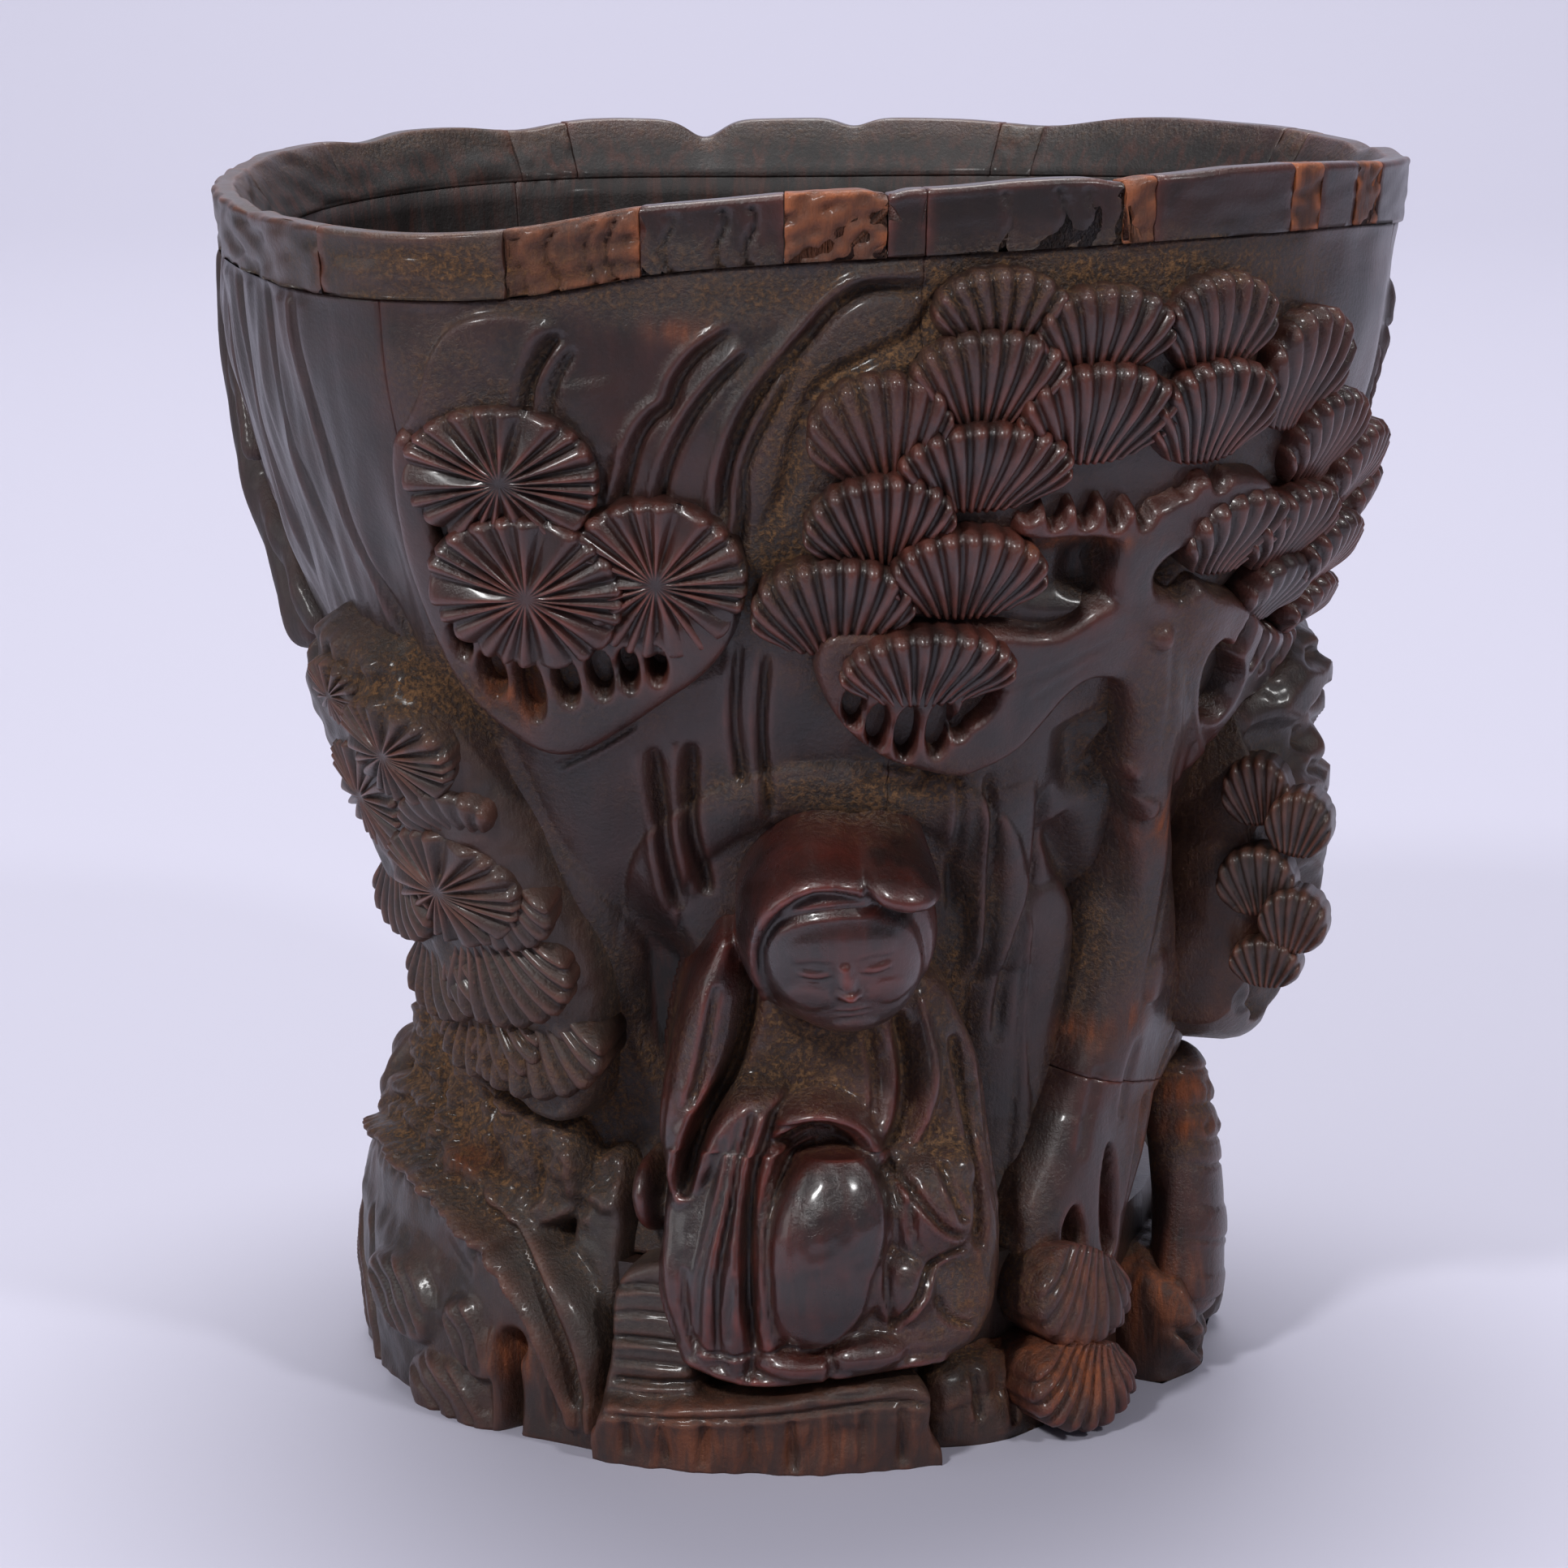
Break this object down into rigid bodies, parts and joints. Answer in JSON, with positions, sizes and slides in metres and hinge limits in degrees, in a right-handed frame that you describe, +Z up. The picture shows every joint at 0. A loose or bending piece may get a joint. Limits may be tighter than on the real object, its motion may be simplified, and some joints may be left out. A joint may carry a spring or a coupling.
{
  "type": "carved aloeswood libation cup",
  "caption": "Flaring wooden cup pieced from staves and lip blocks, carved outside in high relief with a pine, rockwork and a seated scholar.",
  "frame": {"origin": "centre of the flat underside of the plinth, on the surface that the cup stands on", "axes": "+Z up through the mouth, -Y towards the pictured front with the scholar, +X to the right"},
  "size_m": [0.0954, 0.0917, 0.0985],
  "materials": {
    "heartwood": "waxed, satin",
    "redwood": "waxed, satin",
    "sapwood": "rubbed, dull",
    "rockwood": "dusty, dull",
    "polished_figure": "handled, glossy",
    "peg_bamboo": "raw"
  },
  "bodies": {
    "root": {"floor_board": "heartwood", "wall_stave_1": "heartwood", "wall_stave_2": "heartwood", "wall_stave_3": "heartwood", "wall_stave_4": "heartwood", "wall_stave_5": "heartwood", "wall_stave_6": "heartwood", "pine_crown_left": "heartwood", "pine_crown_right": "heartwood", "bamboo_stalk": "heartwood", "back_pine_crown": "heartwood", "lip_block_01": "heartwood", "lip_block_02": "heartwood", "lip_block_04": "heartwood", "lip_block_06": "heartwood", "lip_block_07": "heartwood", "lip_block_09": "heartwood", "lip_block_11": "heartwood", "lip_block_13": "heartwood", "lip_block_15": "heartwood", "lip_block_17": "heartwood", "lip_block_19": "heartwood", "lip_block_20": "heartwood", "lip_block_03": "sapwood", "lip_block_05": "sapwood", "lip_block_08": "sapwood", "lip_block_10": "sapwood", "lip_block_12": "sapwood", "lip_block_14": "sapwood", "lip_block_16": "sapwood", "lip_block_18": "sapwood", "fungus_caps": "sapwood", "pine_trunk_foot": "redwood", "pine_trunk": "redwood", "rosette_bough": "redwood", "back_pine_trunk": "redwood", "back_rosettes": "redwood", "plinth_block": "rockwood", "leaf_slab": "rockwood", "cliff_ridge_left": "rockwood", "sprig_boulder": "rockwood", "front_ledge": "rockwood", "rock_left_front": "rockwood", "rock_left_step": "rockwood", "rock_front_right": "rockwood", "rock_right": "rockwood", "rock_back_right": "rockwood", "rock_back_left": "rockwood", "scholar": "polished_figure", "stave_peg_1": "peg_bamboo", "stave_peg_2": "peg_bamboo", "stave_peg_3": "peg_bamboo", "stave_peg_4": "peg_bamboo", "stave_peg_5": "peg_bamboo", "stave_peg_6": "peg_bamboo"}
  },
  "joints": []
}
